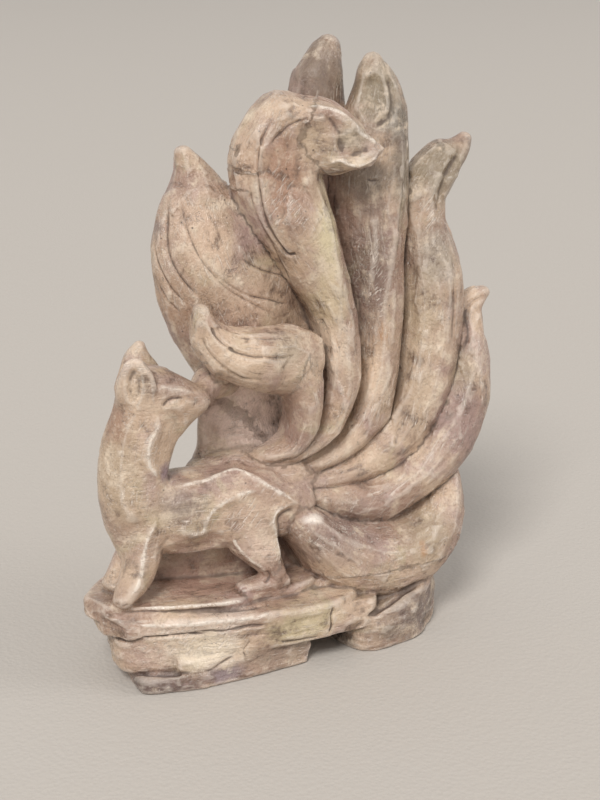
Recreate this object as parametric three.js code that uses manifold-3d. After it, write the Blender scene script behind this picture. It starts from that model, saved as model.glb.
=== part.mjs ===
// Nine-tailed fox on a stratified rock, carved from one stone. Millimetres, +Z up, the fox looks to +X
// with its chest at -X, the tails fan out towards +X, and the front of the carving faces -Y.
// The origin lies on the flat underside.
import * as THREE from 'three';
import Module from 'manifold-3d';

const wasm = await Module();
wasm.setup();

// Driving sizes
const TAIL_SIDES = 14;
const LIMB_SIDES = 12;
const TAIL_PITCH = 9;
const LIMB_PITCH = 5;
const PLATE_TOP = 28.5;
const PLATE_SLOPE = -0.045;
const ROLL_TOP = 25.6;
const ROLL_SLOPE = -0.055;
const LEFT_END = -60;
const STEP_TOP = 24.3;
const UPPER_GROOVE = 18;
const UNDERCUT = 9.2;
const LOWER_GROOVE = 5;
const BANK_LOW = 21;
const BANK_TOP = 36;
const BANK_SLOPE = 0.33;
const BANK_LEFT = -48;
const BLOCK_TOP = 15.5;
const BLOCK_TILT = 0.22;
const BLOCK_CENTRE = 35;
const BASE_POINTS = 24;
const WEB_POINTS = 27;
const WEB_FRONT = -3;
const WEB_BACK = 13;
const ACROSS = [0, 1, 0];
const NECK_ACROSS = [0.35, 0.9, 0];
const HEAD_ACROSS = [0.45, 0.89, 0];
const EAR_ACROSS = [0.3, 0.95, 0];
const UPRIGHT = [0, 0, 1];

// Closed body from vertices and triangles
function solid(vertices, triangles) {
  return new wasm.Manifold(new wasm.Mesh({
    numProp: 3,
    vertProperties: new Float32Array(vertices.flat()),
    triVerts: new Uint32Array(triangles.flat()),
  }));
}

// Rings of equal count joined to a skin, with a pole at each end
function skin(rings, poleA, poleB) {
  const sides = rings[0].length;
  const vertices = [poleA, ...rings.flat(), poleB];
  const last = vertices.length - 1;
  const triangles = [];
  for (let j = 0; j < sides; j++) {
    const k = (j + 1) % sides;
    triangles.push([0, 1 + k, 1 + j]);
    for (let i = 0; i < rings.length - 1; i++) {
      const a = 1 + i * sides;
      const b = a + sides;
      triangles.push([a + j, a + k, b + k], [a + j, b + k, b + j]);
    }
    const end = 1 + (rings.length - 1) * sides;
    triangles.push([last, end + j, end + k]);
  }
  return solid(vertices, triangles);
}

// Cosine or sine drawn towards a square for powers above two
const squared = (value, power) => Math.sign(value) * Math.abs(value) ** (2 / power);

// Rounded limb along a smooth line; a station is [x, y, z, half width, half thickness]
function limb(stations, across = ACROSS, power = 2, sides = LIMB_SIDES, pitch = LIMB_PITCH) {
  const line = new THREE.CatmullRomCurve3(
    stations.map((s) => new THREE.Vector3(s[0], s[1], s[2])), false, 'catmullrom', 0.5);
  const size = new THREE.CatmullRomCurve3(
    stations.map((s) => new THREE.Vector3(s[3], s[4], 0)), false, 'catmullrom', 0.5);
  const thick = new THREE.Vector3(...across).normalize();
  const ringAt = (t, scale, shift) => {
    const along = line.getTangent(t);
    const side = new THREE.Vector3().crossVectors(thick, along).normalize();
    const depth = new THREE.Vector3().crossVectors(along, side);
    const half = size.getPoint(t);
    const centre = line.getPoint(t).addScaledVector(along, shift);
    const ring = [];
    for (let j = 0; j < sides; j++) {
      const turn = 2 * Math.PI * j / sides;
      const p = centre.clone()
        .addScaledVector(side, squared(Math.cos(turn), power) * half.x * scale)
        .addScaledVector(depth, squared(Math.sin(turn), power) * half.y * scale);
      ring.push(p.toArray());
    }
    return { ring, centre };
  };
  const first = stations[0];
  const final = stations[stations.length - 1];
  const startReach = 0.7 * Math.min(first[3], first[4]);
  const endReach = 0.7 * Math.min(final[3], final[4]);
  const rings = [ringAt(0, 0.7, -0.7 * startReach).ring];
  const steps = Math.max(4, Math.round(line.getLength() / pitch));
  for (let i = 0; i <= steps; i++) {
    rings.push(ringAt(i / steps, 1, 0).ring);
  }
  rings.push(ringAt(1, 0.7, 0.7 * endReach).ring);
  const poleA = ringAt(0, 0, -startReach).centre.toArray();
  const poleB = ringAt(1, 0, endReach).centre.toArray();
  return skin(rings, poleA, poleB);
}

const tail = (stations) => limb(stations, ACROSS, 2, TAIL_SIDES, TAIL_PITCH);

// The front tail rises in a thin stem and turns over to the left in a broad leaf
function curlTail() {
  const stem = tail([
    [-6, -9, 68, 2, 4],
    [-2.5, -10.5, 68.6, 3, 6],
    [3, -12, 71, 3.6, 7.5],
    [6, -13, 75.8, 4.8, 8.5],
    [7.2, -14, 81.5, 5.3, 9],
    [6.8, -14.5, 88, 6.4, 9.5],
    [5, -14.5, 95, 8.3, 9.5],
    [2, -15, 100, 9, 9],
  ]);
  const leaf = tail([
    [8, -13.5, 99.5, 11, 8],
    [0, -15.5, 101.3, 11.8, 9.5],
    [-10, -18, 103.8, 10.2, 11],
    [-19.5, -18, 106.5, 8.8, 10],
    [-26, -18, 111.5, 6.8, 8],
    [-28.8, -18, 118, 4.2, 6],
    [-29.3, -18, 122, 2.4, 4],
  ]);
  return [stem, leaf];
}

// The broad pointed leaf on the left
function leafTail() {
  return [tail([
    [7, 4, 63, 7, 7],
    [2, 4, 84, 16, 8],
    [-4.5, 3, 101, 20.5, 10.5],
    [-11.5, 2, 119, 23, 12.5],
    [-17, 2, 133, 21.4, 13],
    [-20, 2.5, 144, 18.3, 12.5],
    [-22, 3, 152, 13.5, 11],
    [-22.8, 4, 158, 8.3, 9],
    [-24.3, 4, 163.5, 5, 6],
    [-26.4, 4, 168, 2.8, 4],
  ])];
}

// The great tail in the middle and its crest, which bends over to the right and ends in a hook
function hookTail() {
  const leaf = tail([
    [-6, -10, 66, 2, 3.5],
    [-1, -10.5, 66.8, 2.6, 5],
    [4, -11, 68, 3.2, 6.5],
    [10, -10.5, 70, 4, 7.5],
    [16, -10, 74.6, 4.8, 8.3],
    [20.3, -9.5, 81.5, 5.6, 9],
    [23, -9, 90, 6, 9.5],
    [22.8, -8.5, 98, 6.5, 10],
    [20.5, -8, 114, 7.5, 11],
    [12.5, -8, 133, 10.5, 12],
    [5, -8, 149, 13.5, 13],
    [0, -8, 162, 15, 13],
    [1.5, -9, 172, 14, 12],
    [4, -10, 179, 11, 11],
  ]);
  const crest = tail([
    [1, -9, 171, 13, 11],
    [10, -12, 173.5, 12, 12.5],
    [19, -14.5, 170.5, 10.3, 11.5],
    [26.2, -17, 168, 6.6, 7.5],
    [32, -18, 168.6, 1.8, 3],
  ]);
  return [leaf, crest];
}

// The narrow horn behind the middle
function hornTail() {
  return [tail([
    [27, 8, 113, 6.5, 8],
    [24.5, 10, 147, 10, 9],
    [23.5, 12, 170, 10, 9],
    [23.8, 12, 184, 9.3, 8.5],
    [25.5, 12, 191, 7.4, 7],
    [27.3, 12, 196.5, 5.3, 5],
    [28.5, 12, 199, 3.6, 3.5],
  ])];
}

// The upright spire right of the hook
function spireTail() {
  return [tail([
    [3, -9, 61.5, 2.5, 4.5],
    [10, -8.5, 62, 3.3, 6],
    [18, -8, 63.8, 4, 7],
    [28, -6.5, 68.8, 5, 8],
    [36, -5, 78, 7, 9],
    [39, -4, 94, 7.5, 10],
    [39.5, -2, 114, 9.5, 11],
    [38, 0, 133, 12, 12],
    [37.5, 1, 151, 14, 12],
    [39.5, 1, 168, 12, 11],
    [40.3, 1, 178, 10.3, 9.5],
    [40, 1, 185, 8, 7.5],
    [38.8, 1, 191, 5.2, 5.5],
    [38.8, 1, 194.5, 2.8, 3.5],
  ])];
}

// The tail that leans out and ends in a flag
function flagTail() {
  return [tail([
    [5, -9.5, 57.5, 2.5, 5],
    [16, -8, 56.2, 4.4, 7],
    [30, -6, 57.8, 6, 9],
    [46, -5, 65, 8.5, 10],
    [55.5, -3, 80, 10, 12],
    [60, -1, 99, 11.5, 13],
    [61, 0, 117, 11.5, 13],
    [59.5, 1, 130, 9.8, 12],
    [57.5, 1, 141, 7.8, 10],
    [58.5, 1, 150, 8.2, 9],
    [64.5, 1, 158.5, 7.8, 8],
    [71, 1, 163, 4.4, 5],
    [74.3, 1, 167, 2.2, 3],
  ])];
}

// The tail that sweeps low and rises at the right edge
function sweepTail() {
  return [tail([
    [5, -10, 53.5, 3, 5],
    [12, -9.5, 51.5, 4.2, 7],
    [22, -9, 48, 6.8, 9.5],
    [36, -8, 46, 8.5, 12],
    [51, -6, 52, 10, 13],
    [64, -4, 62, 11.6, 14],
    [72, -2, 75.5, 11.2, 13],
    [74.5, 0, 88, 10.2, 11],
    [75.4, 1, 99, 7.6, 8],
    [77.5, 2, 106.5, 6.2, 6],
    [81.5, 2, 110.5, 3.6, 4],
    [84.5, 2, 112, 2, 3],
  ])];
}

// The lowest tail, lying on the rock
function lowTail() {
  return [tail([
    [0, -12, 50, 5.5, 9],
    [10, -13, 39, 9, 14],
    [25, -12, 27.5, 14.5, 17],
    [42, -10, 24.5, 14.5, 18],
    [56, -8, 31, 12, 17],
    [64, -4, 43, 7.5, 13],
    [67, -1, 51, 4, 8],
  ])];
}

// The ninth tail, plain, on the back
function backTail() {
  return [tail([
    [20, 10, 45, 9, 9],
    [12, 13, 70, 12, 10],
    [4, 14, 95, 13, 10],
    [2, 14, 118, 11, 9],
    [6, 14, 136, 7, 7],
    [10, 13, 148, 3, 4],
  ])];
}

// Smooth closed line through plan or elevation points, as [u, v] pairs
function closedLine(points, count) {
  const curve = new THREE.CatmullRomCurve3(
    points.map((p) => new THREE.Vector3(p[0], p[1], 0)), true, 'catmullrom', 0.35);
  const line = [];
  for (let i = 0; i < count; i++) {
    const p = curve.getPoint(i / count);
    line.push([p.x, p.y]);
  }
  return line;
}

// The line drawn in by a distance, measured square to it
function inset(line, distance) {
  return line.map((p, i) => {
    const before = line[(i + line.length - 1) % line.length];
    const after = line[(i + 1) % line.length];
    const du = after[0] - before[0];
    const dv = after[1] - before[1];
    const length = Math.hypot(du, dv);
    return [p[0] - dv / length * distance, p[1] + du / length * distance];
  });
}

// Slab between two heights with rounded edges; the outline runs counter-clockwise seen from above
function stratum(points, low, high, lowEdge, highEdge, tilt = 0, level = 0) {
  const line = closedLine(points, BASE_POINTS);
  const levels = [[low, lowEdge], [low + lowEdge, 0], [high - highEdge, 0], [high, highEdge]];
  const rise = (x, z) => (z > low + lowEdge ? z + tilt * (x - level) : z);
  const rings = levels.map(([z, d]) => inset(line, d).map((p) => [p[0], p[1], rise(p[0], z)]));
  const cu = line.reduce((s, p) => s + p[0], 0) / line.length;
  const cv = line.reduce((s, p) => s + p[1], 0) / line.length;
  return skin(rings, [cu, cv, low], [cu, cv, rise(cu, high)]);
}

// Web of stone that joins the stems, thin at the open hole behind the neck
function web() {
  const outline = [
    [-26, 62], [2, 40], [24, 14], [54, 16], [62, 40], [56, 62], [46, 80], [40, 104],
    [26, 136], [2, 146], [-12, 124], [-24, 104], [-25, 95], [-23, 88], [-24.5, 82], [-25.5, 70],
  ];
  const line = closedLine(outline, WEB_POINTS);
  const levels = [[WEB_FRONT, 2], [WEB_FRONT + 2, 0], [3, 1.5], [8, 5], [WEB_BACK, 11]];
  const rings = levels.map(([y, d]) => inset(line, d).map((p) => [p[0], y, p[1]]));
  const cu = line.reduce((s, p) => s + p[0], 0) / line.length;
  const cv = line.reduce((s, p) => s + p[1], 0) / line.length;
  return skin(rings.map((r) => r.slice().reverse()), [cu, WEB_FRONT, cv], [cu, WEB_BACK, cv]);
}

// Trunk, with a broad flat back
function trunk() {
  return limb([
    [-50, -12, 56, 11, 9],
    [-40, -12.5, 54, 13.4, 11],
    [-28, -13, 53.8, 13.5, 11.5],
    [-15, -13, 53.5, 13, 12],
    [-5, -12, 51.5, 11.5, 12],
    [4, -10, 49, 9.5, 11],
  ], ACROSS, 2.8);
}

// Saddle behind the back, level with it, where the stems of the tails run out
function saddle() {
  return limb([
    [-26, -4, 60, 7, 7],
    [-18, -5, 60.5, 8, 9],
    [-6, -6, 60.5, 8, 9.5],
    [4, -8, 58.5, 7.5, 9],
    [16, -6.5, 53, 7, 6],
  ], ACROSS, 2.8);
}

// Neck and chest, with the throat that slopes up to the jaw
function neck() {
  const throat = limb([
    [-31.5, -16, 90.5, 4, 4.5],
    [-37.5, -14.5, 87, 5.5, 6.5],
    [-43, -13, 81, 6.5, 8],
    [-46, -12, 72, 7, 9],
  ], NECK_ACROSS);
  const column = limb([
    [-49.6, -13, 40, 6.5, 10],
    [-51, -13, 49.5, 9, 10.5],
    [-52, -13, 60, 11, 11],
    [-51.5, -12, 70, 11.3, 10.5],
    [-49.5, -12, 79, 11.3, 10],
    [-47.3, -12, 87, 10.5, 9.5],
    [-46.5, -12, 94, 9.4, 9],
  ], NECK_ACROSS);
  return [throat, column];
}

// Head, whose nose runs into the web behind it
function head() {
  const skull = limb([
    [-52, -9, 96.7, 5, 7],
    [-47.8, -11, 96, 8.6, 9],
    [-42.5, -13, 94.3, 8.7, 9],
    [-37.6, -15, 93, 7.8, 7.5],
    [-33, -16.5, 92.4, 6.2, 5.5],
    [-29.5, -17.5, 92.2, 4.2, 4],
  ], HEAD_ACROSS);
  const bridge = limb([
    [-30, -17, 92.5, 3.5, 3.5],
    [-26, -12, 94.5, 5, 6],
    [-18, -5, 96, 8, 7],
  ], HEAD_ACROSS);
  return [skull, bridge];
}

// Ears: the near one stands like a shield in front of the far one
function ears() {
  const near = limb([
    [-50.5, -14, 92, 6.4, 4.5],
    [-51, -17.5, 98.5, 6.4, 3.6],
    [-51.4, -18.5, 103.5, 5.4, 3],
    [-51.8, -19, 107, 3.4, 2.4],
  ], EAR_ACROSS);
  const far = limb([
    [-45, -4, 95.5, 9, 5.5],
    [-45.4, -3, 101, 6.4, 4.5],
    [-45.6, -3, 105, 4.4, 3.5],
    [-44.9, -3, 108.5, 2, 2.2],
  ], EAR_ACROSS);
  return [near, far];
}

// Front legs with their paws
function foreLegs() {
  const near = limb([
    [-50, -17, 54, 8, 6.5],
    [-51.3, -18.5, 46.5, 6.6, 6.2],
    [-52.2, -19.5, 42, 6.2, 6],
    [-54, -20.5, 37.5, 5.6, 5.6],
    [-57, -22, 33.8, 4.6, 5.2],
    [-60.5, -24, 30.4, 2.6, 4.2],
  ]);
  const far = limb([
    [-49, -8, 46, 6.5, 6.5],
    [-52, -8.5, 39, 5.2, 5.8],
    [-56, -9.5, 34, 4.4, 5],
    [-60, -10.5, 30.6, 2.8, 4.4],
  ]);
  return [near, far];
}

// Hind legs, folded under the rump; the far one is mostly lost in the rock
function hindLegs() {
  const near = limb([
    [-12, -15.5, 60, 10.5, 7.5],
    [-12, -18, 53.5, 10.2, 8],
    [-14.2, -19, 45.6, 9, 7.8],
    [-12.3, -20, 40.3, 7.2, 7],
    [-8.8, -21, 34.7, 5, 6],
    [-6.8, -21.5, 30.4, 4.2, 5.2],
    [-6.5, -21.5, 27.5, 4.2, 4.8],
  ]);
  const foot = limb([
    [-3.5, -21.5, 27.4, 2.6, 4.6],
    [-10, -22.5, 27.6, 2.8, 4.4],
    [-19.5, -23.5, 27.6, 1.8, 3.4],
  ]);
  const far = limb([
    [-12, -6, 54, 9, 7],
    [-12, -4, 44, 8, 7],
    [-6, -3, 32, 5, 5],
  ]);
  return [near, foot, far];
}

// Bank of rock behind the legs, which climbs to the right under the tails
function bank() {
  return stratum([
    [-54, 4], [-48, -5], [-30, -9], [-9, -11], [14, -9], [25, 0], [24, 14], [8, 21], [-9, 21],
    [-30, 20], [-46, 15],
  ], BANK_LOW, BANK_TOP, 1, 9, BANK_SLOPE, BANK_LEFT);
}

// The rock: strata on the left under a thin plate, a block on the right
function rock() {
  const plate = stratum([
    [-69.5, -11], [-67, -19], [-60.5, -25], [-50, -28], [-38, -29.5], [-23, -29.5], [-16, -27], [-6, -26],
    [4, -24], [9, -21], [8, -12], [0, 6], [-24, 20], [-42, 16], [-58, 4],
  ], STEP_TOP - 2, PLATE_TOP, 0.8, 1.2, PLATE_SLOPE, LEFT_END);
  const roll = stratum([
    [-66.5, -12], [-64, -24.5], [-50, -30.5], [-38, -33.5], [-20, -36], [0, -36.5], [10, -35],
    [17, -31.5], [23, -24], [22, -8], [0, 10], [-30, 16], [-50, 10], [-62, 0],
  ], UPPER_GROOVE - 0.5, ROLL_TOP, 1.2, 2, ROLL_SLOPE, LEFT_END);
  const step = stratum([
    [-40, -18], [0, -22], [20, -22], [40, -14], [54, -4], [52, 14], [30, 24], [0, 25], [-30, 20], [-44, 0],
  ], UPPER_GROOVE - 2, STEP_TOP, 1.5, 2);
  const middle = stratum([
    [-62, -12], [-61, -23.5], [-50, -29.5], [-36, -33], [-22, -35.5], [2, -36], [14, -34.5], [26, -32.5],
    [30, -20], [20, 8], [-10, 20], [-36, 17], [-56, 4],
  ], UNDERCUT, UPPER_GROOVE + 0.5, 1.5, 1.5);
  const middleLeft = stratum([
    [-61, -12], [-60.5, -23.5], [-50, -29.5], [-38, -32.5], [-29, -33], [-26, -10], [-34, 14], [-54, 4],
  ], LOWER_GROOVE - 0.5, UNDERCUT + 3, 2, 1);
  const bottomLeft = stratum([
    [-56, -12], [-57, -30.5], [-46, -34.5], [-36, -35.5], [-30, -30], [-28, -10],
    [-30, 14], [-50, 4],
  ], 0, LOWER_GROOVE + 0.5, 1, 1.5);
  const bottomRight = stratum([
    [-44, -33.5], [-24, -35], [-12, -34], [1, -32], [4, -26], [6, -18],
    [8, 6], [-10, 18], [-36, 14], [-44, 4], [-46, -16],
  ], 0, UNDERCUT + 1.5, 1, 1.5);
  const block = stratum([
    [20, -31], [26, -34], [36, -33], [47, -28], [58, -15], [59, 0], [50, 16], [30, 24],
    [10, 24], [-6, 18], [4, -4], [14, -16],
  ], 0, BLOCK_TOP, 1, 2.5, BLOCK_TILT, BLOCK_CENTRE);
  return [plate, roll, step, middle, middleLeft, bottomLeft, bottomRight, block];
}

// The broken hollow under the front edge, between strata and block, open below
function hollow() {
  return limb([
    [10.5, -46, 0, 9.5, 9.8],
    [10.5, -33, 0, 9.5, 9.8],
    [10.7, -29, 0, 9, 9.2],
    [11, -26, 0, 6.5, 6.5],
  ], UPRIGHT);
}

const pieces = [
  ...rock(), bank(), web(), trunk(), saddle(), ...neck(), ...head(), ...ears(), ...foreLegs(), ...hindLegs(),
  ...curlTail(), ...leafTail(), ...hookTail(), ...hornTail(), ...spireTail(), ...flagTail(),
  ...sweepTail(), ...lowTail(), ...backTail(),
];
const carved = pieces.reduce((whole, piece) => whole.add(piece)).subtract(hollow());

// The carving as one mesh
function meshOf(body, name, colour) {
  const data = body.getMesh();
  const geometry = new THREE.BufferGeometry();
  geometry.setAttribute('position', new THREE.BufferAttribute(new Float32Array(data.vertProperties), 3));
  geometry.setIndex(new THREE.BufferAttribute(new Uint32Array(data.triVerts), 1));
  geometry.computeVertexNormals();
  const mesh = new THREE.Mesh(geometry, new THREE.MeshStandardMaterial({ color: colour, roughness: 0.4 }));
  mesh.name = name;
  return mesh;
}

const fox = new THREE.Group();
fox.add(meshOf(carved, 'fox_carving', 0xb5a597));

export default fox;
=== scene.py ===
import math

import bpy
import numpy as np
from mathutils import Matrix, Vector, kdtree


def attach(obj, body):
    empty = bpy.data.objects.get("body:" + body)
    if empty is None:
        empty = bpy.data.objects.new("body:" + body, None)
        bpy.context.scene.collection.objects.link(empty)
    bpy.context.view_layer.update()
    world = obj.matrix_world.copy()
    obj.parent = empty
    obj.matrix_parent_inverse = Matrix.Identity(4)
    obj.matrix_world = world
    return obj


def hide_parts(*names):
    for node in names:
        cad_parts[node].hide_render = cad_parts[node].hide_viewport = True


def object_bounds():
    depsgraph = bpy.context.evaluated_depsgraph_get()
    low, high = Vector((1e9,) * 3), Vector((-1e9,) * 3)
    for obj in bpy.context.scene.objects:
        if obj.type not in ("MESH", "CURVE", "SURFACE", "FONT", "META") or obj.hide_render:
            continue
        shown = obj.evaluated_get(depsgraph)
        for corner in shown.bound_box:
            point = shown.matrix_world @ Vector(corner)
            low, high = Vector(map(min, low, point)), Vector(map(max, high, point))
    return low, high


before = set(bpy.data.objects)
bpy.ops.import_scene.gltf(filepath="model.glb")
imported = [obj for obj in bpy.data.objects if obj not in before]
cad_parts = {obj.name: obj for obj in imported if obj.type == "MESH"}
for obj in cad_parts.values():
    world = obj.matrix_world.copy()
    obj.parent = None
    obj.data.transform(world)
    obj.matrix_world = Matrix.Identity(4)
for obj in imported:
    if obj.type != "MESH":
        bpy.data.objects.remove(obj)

cad_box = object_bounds()

# The camera stands a little to the left of the carving's front, looks down on it and is level.
turn, tilt, away = math.radians(-24.0), math.radians(18.0), 0.550
aim = Vector((0.0125, 0.0, 0.0815))
back = Vector((math.sin(turn) * math.cos(tilt), -math.cos(turn) * math.cos(tilt), math.sin(tilt)))
right = Vector((math.cos(turn), math.sin(turn), 0.0))
up = back.cross(right)


def shown(name, data):
    thing = bpy.data.objects.new(name, data)
    bpy.context.scene.collection.objects.link(thing)
    return thing


camera = shown("camera", bpy.data.cameras.new("camera"))
camera.data.lens = 72.9
camera.data.sensor_width = 36.0
camera.data.clip_start = 0.01
camera.matrix_world = Matrix.Translation(aim + back * away) @ Matrix((right, up, back)).transposed().to_4x4()
bpy.context.scene.camera = camera

# The floor is wide, pale and plain, with a very fine grain. The light is that of a bright room: one
# broad soft source from the upper left, a weaker one from the right, and pale walls all round.


# Sums written on sockets: each operator adds the node that works it out
class Flow:
    def __init__(self, tree, socket):
        self.tree, self.socket = tree, socket

    def _do(self, kind, *parts):
        return put(self.tree, "ShaderNodeMath", {"operation": kind}, dict(enumerate((self,) + parts)))

    def __add__(self, other):
        return self._do("ADD", other)

    def __sub__(self, other):
        return self._do("SUBTRACT", other)

    def __mul__(self, other):
        return self._do("MULTIPLY", other)

    def __truediv__(self, other):
        return self._do("DIVIDE", other)

    def __pow__(self, other):
        return self._do("POWER", other)

    def __rsub__(self, other):
        return put(self.tree, "ShaderNodeMath", {"operation": "SUBTRACT"}, {0: other, 1: self})

    def __rtruediv__(self, other):
        return put(self.tree, "ShaderNodeMath", {"operation": "DIVIDE"}, {0: other, 1: self})

    __radd__, __rmul__ = __add__, __mul__

    def clip(self):
        return put(self.tree, "ShaderNodeClamp", {}, {"Value": self})

    def maximum(self, other):
        return self._do("MAXIMUM", other)

    def unsigned(self):
        return self._do("ABSOLUTE")


# One node of any type, with its settings and the values or links of its sockets
def put(tree, kind, settings, sockets, out=0):
    node = tree.nodes.new(kind)
    for name, value in settings.items():
        setattr(node, name, value)
    for name, value in sockets.items():
        if isinstance(value, Flow):
            tree.links.new(value.socket, node.inputs[name])
        else:
            node.inputs[name].default_value = value
    return Flow(tree, node.outputs[out])


half_floor = 8.0
floor_mesh = bpy.data.meshes.new("floor")
floor_corners = [(x * half_floor, y * half_floor, 0) for x, y in ((-1, -1), (1, -1), (1, 1), (-1, 1))]
floor_mesh.from_pydata(floor_corners, [], [(0, 1, 2, 3)])
floor = shown("floor", floor_mesh)
pale = bpy.data.materials.new("pale floor")
pale.use_nodes = True
pale_shader = pale.node_tree.nodes["Principled BSDF"]
pale_shader.inputs["Base Color"].default_value = (0.485, 0.452, 0.415, 1)
pale_shader.inputs["Roughness"].default_value = 0.8
floor_spot = put(pale.node_tree, "ShaderNodeTexCoord", {}, {}, out="Object")
fine_grain = put(pale.node_tree, "ShaderNodeTexVoronoi", {}, {"Vector": floor_spot, "Scale": 620.0})
fine_grain = put(pale.node_tree, "ShaderNodeBump", {},
                 {"Height": fine_grain, "Strength": 0.35, "Distance": 0.0004})
pale.node_tree.links.new(fine_grain.socket, pale_shader.inputs["Normal"])
floor_mesh.materials.append(pale)
CARVING_MIDDLE = Vector((0.01, 0, 0.09))


def soft_light(name, place, size, power, tint):
    lamp = bpy.data.lights.new(name, "AREA")
    lamp.shape = "DISK"
    lamp.size = size
    lamp.energy = power
    lamp.color = tint
    aimed = (Vector(place) - CARVING_MIDDLE).to_track_quat("Z", "Y").to_matrix().to_4x4()
    shown(name, lamp).matrix_world = Matrix.Translation(place) @ aimed


soft_light("window", (-5.7, -6.9, 9.0), 4.2, 1180.0, (1.0, 0.98, 0.95))
soft_light("room", (7.8, -4.2, 4.8), 4.8, 210.0, (1.0, 0.97, 0.94))
world = bpy.data.worlds.new("pale room")
world.use_nodes = True
world.node_tree.nodes["Background"].inputs["Color"].default_value = (1.0, 0.98, 0.96, 1)
world.node_tree.nodes["Background"].inputs["Strength"].default_value = 0.60
bpy.context.scene.world = world
bpy.context.scene.view_settings.view_transform = "Standard"

# The fan of tails. Nine tails rise from the rump in one fan, each a long rounded roll of stone that
# swells and then runs out in a point. All are cut from the one block, so they meet in creases.
# A station is x, y, z, half width, half thickness, in millimetres.
FAN = {
    "curl stem": [(-6, -9, 68, 2, 4), (-2.5, -10.5, 68.6, 3, 6), (3, -12, 71, 3.6, 7.5),
                  (6, -13, 75.8, 4.8, 8.5), (7.2, -14, 81.5, 5.3, 9), (6.8, -14.5, 88, 6.4, 9.5),
                  (5, -14.5, 95, 8.3, 9.5), (2, -15, 100, 9, 9)],
    "curl leaf": [(8, -13.5, 99.5, 11, 8), (0, -15.5, 101.3, 11.8, 9.5), (-10, -18, 103.8, 10.2, 11),
                  (-19.5, -18, 106.5, 8.8, 10), (-26, -18, 111.5, 6.8, 8), (-28.8, -18, 118, 4.2, 6),
                  (-29.3, -18, 122, 2.4, 4)],
    "left leaf": [(7, 4, 63, 7, 7), (2, 4, 84, 16, 8), (-4.5, 3, 101, 20.5, 10.5),
                  (-11.5, 2, 119, 23, 12.5), (-17, 2, 133, 21.4, 13), (-20, 2.5, 144, 18.3, 12.5),
                  (-22, 3, 152, 13.5, 11), (-22.8, 4, 158, 8.3, 9), (-24.3, 4, 163.5, 5, 6),
                  (-26.4, 4, 168, 2.8, 4)],
    "hook leaf": [(-6, -10, 66, 2, 3.5), (-1, -10.5, 66.8, 2.6, 5), (4, -11, 68, 3.2, 6.5),
                  (10, -10.5, 70, 4, 7.5), (16, -10, 74.6, 4.8, 8.3), (20.3, -9.5, 81.5, 5.6, 9),
                  (23, -9, 90, 6, 9.5), (22.8, -8.5, 98, 6.5, 10), (20.5, -8, 114, 7.5, 11),
                  (12.5, -8, 133, 10.5, 12), (5, -8, 149, 13.5, 13), (0, -8, 162, 15, 13),
                  (1.5, -9, 172, 14, 12), (4, -10, 179, 11, 11)],
    "hook crest": [(1, -9, 171, 13, 11), (10, -12, 173.5, 12, 12.5), (19, -14.5, 170.5, 10.3, 11.5),
                   (26.2, -17, 168, 6.6, 7.5), (32, -18, 168.6, 1.8, 3)],
    "horn": [(27, 8, 113, 6.5, 8), (24.5, 10, 147, 10, 9), (23.5, 12, 170, 10, 9),
             (23.8, 12, 184, 9.3, 8.5), (25.5, 12, 191, 7.4, 7), (27.3, 12, 196.5, 5.3, 5),
             (28.5, 12, 199, 3.6, 3.5)],
    "spire": [(3, -9, 61.5, 2.5, 4.5), (10, -8.5, 62, 3.3, 6), (18, -8, 63.8, 4, 7), (28, -6.5, 68.8, 5, 8),
              (36, -5, 78, 7, 9), (39, -4, 94, 7.5, 10), (39.5, -2, 114, 9.5, 11), (38, 0, 133, 12, 12),
              (37.5, 1, 151, 14, 12), (39.5, 1, 168, 12, 11), (40.3, 1, 178, 10.3, 9.5),
              (40, 1, 185, 8, 7.5), (38.8, 1, 191, 5.2, 5.5), (38.8, 1, 194.5, 2.8, 3.5)],
    "flag": [(5, -9.5, 57.5, 2.5, 5), (16, -8, 56.2, 4.4, 7), (30, -6, 57.8, 6, 9), (46, -5, 65, 8.5, 10),
             (55.5, -3, 80, 10, 12), (60, -1, 99, 11.5, 13), (61, 0, 117, 11.5, 13),
             (59.5, 1, 130, 9.8, 12), (57.5, 1, 141, 7.8, 10), (58.5, 1, 150, 8.2, 9),
             (64.5, 1, 158.5, 7.8, 8), (71, 1, 163, 4.4, 5), (74.3, 1, 167, 2.2, 3)],
    "sweep": [(5, -10, 53.5, 3, 5), (12, -9.5, 51.5, 4.2, 7), (22, -9, 48, 6.8, 9.5), (36, -8, 46, 8.5, 12),
              (51, -6, 52, 10, 13), (64, -4, 62, 11.6, 14), (72, -2, 75.5, 11.2, 13),
              (74.5, 0, 88, 10.2, 11), (75.4, 1, 99, 7.6, 8), (77.5, 2, 106.5, 6.2, 6),
              (81.5, 2, 110.5, 3.6, 4), (84.5, 2, 112, 2, 3)],
    "low": [(0, -12, 50, 5.5, 9), (10, -13, 39, 9, 14), (25, -12, 27.5, 14.5, 17),
            (42, -10, 24.5, 14.5, 18), (56, -8, 31, 12, 17), (64, -4, 43, 7.5, 13), (67, -1, 51, 4, 8)],
    "back": [(20, 10, 45, 9, 9), (12, 13, 70, 12, 10), (4, 14, 95, 13, 10), (2, 14, 118, 11, 9),
             (6, 14, 136, 7, 7), (10, 13, 148, 3, 4)],
}


# A point on the smooth curve between b and c, at the share t of the way
def on_curve(a, b, c, d, t):
    return 0.5 * (2 * b + (c - a) * t + (2 * a - 5 * b + 4 * c - d) * t ** 2
                  + (3 * b - a - 3 * c + d) * t ** 3)


def with_ends(rows):
    return np.vstack([2 * rows[0] - rows[1], rows, 2 * rows[-1] - rows[-2]])


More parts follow.
